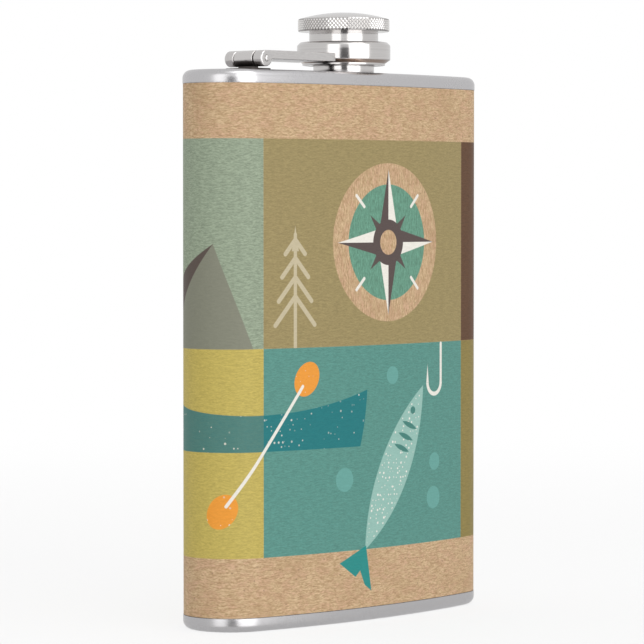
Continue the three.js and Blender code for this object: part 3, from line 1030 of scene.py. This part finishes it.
class FLASK_OT_pans(bpy.types.Operator):
    """Presses the shoulder and the base with their rims"""

    bl_idname = "flask.pans"
    bl_label = "Shoulder and Base"

    def execute(self, context):
        neck = context.scene.flask_neck
        steel = satin_steel()
        shoulder = pan("shoulder_pan", SHOULDER_LOW.z, SHOULDER)
        hole = upright("neck_hole", neck.spigot_radius + FIT, SHOULDER - 2 * MM, SHOULDER + MM)
        combine(shoulder, hole, "DIFFERENCE")
        base = pan("base_pan", BASE_HIGH.z, BASE_LOW.z)
        for piece, node in ((shoulder, "top_end"), (base, "bottom_end")):
            smooth(soften(piece, 0.06 * MM, 2), 24)
            dress(piece, steel, "satin_steel", "flask", node)
        frame["nodes"]["body_shell"].material_slots[0].material = steel
        return {"FINISHED"}


class FLASK_OT_wrap(bpy.types.Operator):
    """Lays the printed wrap round the body"""

    bl_idname = "flask.wrap"
    bl_label = "Printed Wrap"

    def execute(self, context):
        body = context.scene.flask_body
        section = Section(body.wrap_inset)
        wrap = section.outline("printed_sheet", WRAP_LOW.z)
        extend((0, 0, WRAP_HIGH.z - WRAP_LOW.z))
        close_mesh()
        unroll(wrap, section)
        add_modifier(wrap, "SOLIDIFY", thickness=body.wrap_thickness, offset=-1, use_even_offset=True)
        smooth(wrap)
        dress(wrap, printed_vinyl(section), "printed_vinyl", "flask", "print_wrap")
        return {"FINISHED"}


class FLASK_OT_neck(bpy.types.Operator):
    """Turns the pouring neck and cuts its thread"""

    bl_idname = "flask.neck"
    bl_label = "Pouring Neck"

    def execute(self, context):
        neck = context.scene.flask_neck
        foot_top = SHOULDER + neck.foot_height
        step = neck.foot_radius - neck.root_radius
        lead = 0.3 * MM
        piece = turned("threaded_neck", [
            (neck.bore_radius, NECK_LOW.z),
            (neck.spigot_radius, NECK_LOW.z),
            (neck.spigot_radius, SHOULDER + FIT),
            (neck.foot_radius, SHOULDER + FIT),
            (neck.foot_radius, foot_top - step / 2),
            (neck.foot_radius - step / 2, foot_top),
            (neck.root_radius, foot_top),
            (neck.root_radius, NECK_HIGH.z - lead),
            (neck.root_radius - lead, NECK_HIGH.z),
            (neck.bore_radius, NECK_HIGH.z),
        ])
        soften(piece, 0.07 * MM)
        thread_low = foot_top + 0.25 * MM
        ridge = helix_ridge(
            "neck_ridge", neck.root_radius - RIDGE_SINK, neck.crest_radius, thread_low,
            neck.pitch, neck.turns,
        )
        combine(piece, ridge, "UNION")
        smooth(piece)
        dress(piece, turned_steel(), "turned_steel", "flask", "pour_neck")
        return {"FINISHED"}


class FLASK_OT_hinge(bpy.types.Operator):
    """Makes the bracket on the shoulder and its pin"""

    bl_idname = "flask.hinge"
    bl_label = "Hinge Bracket and Pin"

    def execute(self, context):
        hinge = context.scene.flask_hinge
        half = hinge.middle_knuckle / 2
        web_half = half - hinge.web_inset
        web_side = hinge.web_thickness / 2
        base_top = BRACKET_LOW.z + hinge.base_thickness
        bracket = block(
            "knuckle_bracket", BRACKET_LOW, (BRACKET_HIGH.x, BRACKET_HIGH.y, base_top), 0.1 * MM,
        )
        web = block(
            "bracket_web",
            (HINGE.x - web_side, HINGE.y - web_half, base_top - hinge.base_thickness / 2),
            (HINGE.x + web_side, HINGE.y + web_half, HINGE.z),
        )
        barrel = rod("bracket_barrel", hinge.knuckle_radius, HINGE.y - half, HINGE.y + half, 0.15 * MM)
        combine(bracket, web, "UNION")
        combine(bracket, barrel, "UNION")
        bore = rod("bracket_bore", hinge.bore_radius, ARM_LOW.y - MM, ARM_HIGH.y + MM)
        combine(bracket, bore, "DIFFERENCE")
        smooth(bracket)
        dress(bracket, bracket_steel(), "satin_steel", "flask", "hinge_bracket")
        pin = rod("domed_pin", hinge.pin_radius, PIN_LOW.y, PIN_HIGH.y, 0.43 * MM, segments=7)
        smooth(pin, 60)
        dress(pin, turned_steel(), "turned_steel", "flask", "hinge_pin")
        return {"FINISHED"}


class FLASK_OT_arm(bpy.types.Operator):
    """Shapes the arm that holds the cap, with its two knuckles"""

    bl_idname = "flask.arm"
    bl_label = "Captive Arm"

    def execute(self, context):
        hinge = context.scene.flask_hinge
        collar = context.scene.flask_collar
        top = HINGE.z + hinge.knuckle_radius
        plate = block(
            "hinged_arm",
            (HINGE.x, ARM_LOW.y, top - hinge.arm_thickness),
            (AXIS.x, ARM_HIGH.y, top), 0.2 * MM, 3,
        )
        inner = hinge.middle_knuckle / 2 + hinge.gap
        for name, start, stop in (
            ("front_knuckle", ARM_LOW.y, HINGE.y - inner), ("back_knuckle", HINGE.y + inner, ARM_HIGH.y),
        ):
            combine(plate, rod(name, hinge.knuckle_radius, start, stop, 0.40 * MM), "UNION")
        reach = hinge.knuckle_radius + hinge.gap
        notch = block(
            "arm_notch",
            (HINGE.x - 2 * reach, HINGE.y - inner, HINGE.z - reach),
            (HINGE.x + reach, HINGE.y + inner, HINGE.z + reach),
        )
        combine(plate, notch, "DIFFERENCE")
        bore = rod("arm_bore", hinge.bore_radius, ARM_LOW.y - MM, ARM_HIGH.y + MM)
        combine(plate, bore, "DIFFERENCE")
        seat = upright("ring_seat", collar.radius + hinge.seat_gap, SHOULDER, KNOB_LOW.z)
        combine(plate, seat, "DIFFERENCE")
        smooth(plate)
        dress(plate, drawn_steel(), "turned_steel", "arm", "captive_arm")
        return {"FINISHED"}


class FLASK_OT_collar(bpy.types.Operator):
    """Turns the collar ring and the washer that keeps the cap in it"""

    bl_idname = "flask.collar"
    bl_label = "Collar Ring and Washer"

    def execute(self, context):
        collar = context.scene.flask_collar
        foot_top = RING_LOW.z + collar.foot_height
        lip_bottom = RING_HIGH.z - collar.lip
        ring = turned("turned_collar", [
            (collar.counterbore, RING_LOW.z),
            (collar.foot_radius, RING_LOW.z),
            (collar.foot_radius, foot_top),
            (collar.radius, foot_top + collar.bevel_height),
            (collar.radius, RING_HIGH.z - collar.top_chamfer),
            (collar.radius - collar.top_chamfer, RING_HIGH.z),
            (collar.bore_radius, RING_HIGH.z),
            (collar.bore_radius, lip_bottom),
            (collar.counterbore, lip_bottom),
        ], steps=192)
        smooth(soften(ring, 0.12 * MM))
        dress(ring, collar_steel(), "turned_steel", "arm", "collar_ring")
        bore = (WASHER_HIGH.x - WASHER_LOW.x) / 2 - 0.8 * MM
        rim = (WASHER_HIGH.x - WASHER_LOW.x) / 2
        washer = turned("cap_washer", [
            (bore, WASHER_LOW.z), (rim, WASHER_LOW.z), (rim, WASHER_HIGH.z), (bore, WASHER_HIGH.z),
        ])
        smooth(soften(washer, 0.08 * MM))
        dress(washer, worked_steel(), "satin_steel", "washer", "retaining_washer")
        return {"FINISHED"}


class FLASK_OT_cap(bpy.types.Operator):
    """Makes the knurled head, the threaded sleeve and the seal of the cap"""

    bl_idname = "flask.cap"
    bl_label = "Screw Cap"

    def execute(self, context):
        steel = turned_steel()
        dress(self.head(context), knurled_steel(), "turned_steel", "cap", "cap_knob")
        dress(self.sleeve(context), steel, "turned_steel", "cap", "cap_sleeve")
        dress(self.seal(context), seal_silicone(), "seal_rubber", "cap", "cap_seal")
        return {"FINISHED"}

    def head(self, context):
        """A domed head whose rim is knurled by bevelling a grid's corners and raising every diamond."""
        cap = context.scene.flask_cap
        groove = cap.head_radius - cap.knurl_depth
        recess = cap.shank_radius + cap.fit_gap
        recess_top = KNOB_LOW.z + cap.tenon + cap.fit_gap
        rim_top = KNOB_LOW.z + cap.head_height
        rise = KNOB_HIGH.z - rim_top
        sphere = (groove * groove + rise * rise) / (2 * rise)
        sweep = math.asin(groove / sphere)
        dome = []
        for step in range(DOME_STEPS + 1):
            angle = sweep * (1 - step / DOME_STEPS)
            dome.append((sphere * math.sin(angle), KNOB_HIGH.z - sphere * (1 - math.cos(angle))))
        dome[-1] = (0, KNOB_HIGH.z)
        rows = cap.knurl_rows
        rim = [(groove, KNOB_LOW.z + cap.head_height * row / rows) for row in range(rows)]
        profile = [(0, recess_top), (recess, recess_top), (recess, KNOB_LOW.z), *rim, *dome]
        piece = turned("knurled_head", profile, steps=cap.knurl_columns)
        on_rim = lambda face: abs(face.normal.z) < 0.1 and self.radius(face.center) > groove * 0.9
        select_faces(piece, on_rim)
        bpy.ops.mesh.bevel(offset_type="PERCENT", offset_pct=50, affect="VERTICES")
        weld(10 * WELD)
        bpy.ops.object.mode_set(mode="OBJECT")
        select_faces(piece, on_rim)
        bpy.ops.mesh.poke(offset=cap.knurl_depth)
        close_mesh()
        return smooth(piece, 20)

    def radius(self, point):
        return math.hypot(point.x - AXIS.x, point.y - AXIS.y)

    def sleeve(self, context):
        cap = context.scene.flask_cap
        neck = context.scene.flask_neck
        bore = cap.shank_radius - cap.shank_wall
        foot_top = SLEEVE_LOW.z + cap.foot_height
        ceiling = SEAL_HIGH.z + cap.fit_gap
        piece = turned("threaded_sleeve", [
            (bore, SLEEVE_LOW.z),
            (cap.shank_radius + cap.foot_lip, SLEEVE_LOW.z),
            (cap.shank_radius + cap.foot_lip, foot_top),
            (cap.shank_radius, foot_top),
            (cap.shank_radius, SLEEVE_HIGH.z),
            (0, SLEEVE_HIGH.z),
            (0, ceiling),
            (bore, ceiling),
        ][::-1])
        soften(piece, 0.06 * MM)
        thread_low = SHOULDER + neck.foot_height + 0.85 * MM
        ridge = helix_ridge(
            "sleeve_ridge", bore + RIDGE_SINK, cap.thread_crest, thread_low, neck.pitch, neck.turns,
        )
        combine(piece, ridge, "UNION")
        return smooth(piece)

    def seal(self, context):
        radius = (SEAL_HIGH.x - SEAL_LOW.x) / 2
        dish = 0.3 * MM
        piece = turned("sealing_disc", [
            (0, SEAL_LOW.z + dish), (radius * 0.62, SEAL_LOW.z + dish), (radius * 0.68, SEAL_LOW.z),
            (radius, SEAL_LOW.z), (radius, SEAL_HIGH.z), (0, SEAL_HIGH.z),
        ])
        return smooth(soften(piece, 0.1 * MM))


class FLASK_OT_studio(bpy.types.Operator):
    """Sets the camera, the lights, the room and a pale floor"""

    bl_idname = "flask.studio"
    bl_label = "Studio"

    def execute(self, context):
        studio = context.scene.flask_studio
        self.camera(context, studio)
        self.room(context, studio)
        self.lights(context, studio)
        self.floor()
        context.scene.view_settings.view_transform = "Standard"
        return {"FINISHED"}

    def camera(self, context, studio):
        section = Section(0)
        front = section.centre_y - section.front
        target = Vector((AIM[0], front + AIM[1], AIM[2]))
        forward = Vector((
            -math.sin(studio.azimuth) * math.cos(studio.pitch),
            math.cos(studio.azimuth) * math.cos(studio.pitch),
            -math.sin(studio.pitch),
        ))
        lens = bpy.data.cameras.new("camera")
        lens.lens = studio.lens
        lens.sensor_width = 36
        lens.clip_start = 0.01
        camera = bpy.data.objects.new("camera", lens)
        camera.location = target - forward * studio.distance
        camera.rotation_euler = (math.pi / 2 - studio.pitch, 0, studio.azimuth)
        context.scene.collection.objects.link(camera)
        context.scene.camera = camera

    def room(self, context, studio):
        """A pale room for the metal to reflect, seen as plain white behind the flask."""
        world = bpy.data.worlds.new("room")
        graph = Graph(world)
        walls = graph.node("ShaderNodeBackground", inputs={"Color": [studio.surround] * 3})
        backdrop = graph.node("ShaderNodeBackground", inputs={"Color": (1, 1, 1)})
        seen = graph.node("ShaderNodeLightPath").outputs["Is Camera Ray"]
        sides = {0: seen, 1: walls.outputs[0], 2: backdrop.outputs[0]}
        shown = graph.node("ShaderNodeMixShader", inputs=sides)
        graph.node("ShaderNodeOutputWorld", inputs={"Surface": shown.outputs[0]})
        context.scene.world = world

    def lights(self, context, studio):
        """Softboxes to be reflected, one to light the print, and a dark card behind and below the camera."""
        self.softbox(context, "key_softbox", (39, 3), (0.86, 1.3), studio.key_power, diffuse=False)
        self.softbox(context, "print_softbox", (27, 8), (0.86, 1.3), studio.print_power, glossy=False)
        self.softbox(context, "fill_softbox", (-25, 3), (0.48, 1.3), studio.fill_power, diffuse=False)
        self.softbox(context, "top_softbox", (50, 60), (0.7, 0.7), studio.top_power, diffuse=False)
        card = add(bpy.ops.mesh.primitive_plane_add, "dark_card", size=1)
        card.scale = (0.40, 0.78, 1)
        self.face_flask(card, context, (2.6, -13), CARD_DISTANCE)
        finish = Finish("dark_card")
        finish.set(base_color=CARD_BLACK, roughness=0.9)
        card.data.materials.append(finish.material)
        card.visible_camera = card.visible_diffuse = card.visible_shadow = False

    def softbox(self, context, name, bearing, size, power, diffuse=True, glossy=True):
        light = bpy.data.lights.new(name, "AREA")
        light.shape = "RECTANGLE"
        light.size, light.size_y = size
        light.energy = power
        lamp = bpy.data.objects.new(name, light)
        lamp.visible_camera = False
        lamp.visible_diffuse = diffuse
        lamp.visible_glossy = glossy
        context.scene.collection.objects.link(lamp)
        self.face_flask(lamp, context, bearing, SOFTBOX_DISTANCE)

    def face_flask(self, thing, context, bearing, distance):
        """Places something on a bearing from the camera's side, turned to the flask's middle."""
        azimuth = context.scene.flask_studio.azimuth + math.radians(bearing[0])
        rise = math.radians(bearing[1])
        flat = distance * math.cos(rise)
        height = SHOULDER * 0.8 + distance * math.sin(rise)
        thing.location = (math.sin(azimuth) * flat, -math.cos(azimuth) * flat, height)
        thing.rotation_euler = (math.pi / 2 - rise, 0, azimuth)

    def floor(self):
        floor = add(
            bpy.ops.mesh.primitive_circle_add, "floor", vertices=96, radius=1.6, fill_type="NGON",
            location=(0, 0, BASE_LOW.z),
        )
        finish = Finish("pale_floor")
        x, y, _ = finish.place()
        fade = 0.2 * (1 - finish.rise(finish.hypot(x, y), 150.0, 700.0))
        finish.set(base_color=(0.93, 0.93, 0.93), roughness=0.75, alpha=fade)
        floor.data.materials.append(finish.material)


MAKERS = (
    FLASK_OT_pans, FLASK_OT_wrap, FLASK_OT_neck, FLASK_OT_hinge,
    FLASK_OT_arm, FLASK_OT_collar, FLASK_OT_cap, FLASK_OT_studio,
)


class FLASK_PT_maker(bpy.types.Panel):
    """Lists the flask's settings and the operators that make it"""

    bl_idname = "FLASK_PT_maker"
    bl_label = "Hip Flask"
    bl_space_type = "VIEW_3D"
    bl_region_type = "UI"
    bl_category = "Flask"

    def draw(self, context):
        layout = self.layout
        for maker in MAKERS:
            layout.operator(maker.bl_idname)
        for name, group in SETTINGS.items():
            box = layout.box()
            box.label(text=name.replace("_", " ").title())
            for key in group.__annotations__:
                box.prop(getattr(context.scene, name), key)


CLASSES = (*SETTINGS.values(), *MAKERS, FLASK_PT_maker)


def register():
    for item in CLASSES:
        bpy.utils.register_class(item)
    for name, group in SETTINGS.items():
        setattr(bpy.types.Scene, name, PointerProperty(type=group))


def unregister():
    for name in SETTINGS:
        delattr(bpy.types.Scene, name)
    for item in reversed(CLASSES):
        bpy.utils.unregister_class(item)


def main():
    register()
    bpy.ops.flask.studio()
    bpy.ops.flask.pans()
    bpy.ops.flask.wrap()
    bpy.ops.flask.neck()
    bpy.ops.flask.hinge()
    bpy.ops.flask.arm()
    bpy.ops.flask.collar()
    bpy.ops.flask.cap()


if __name__ == "__main__":
    main()
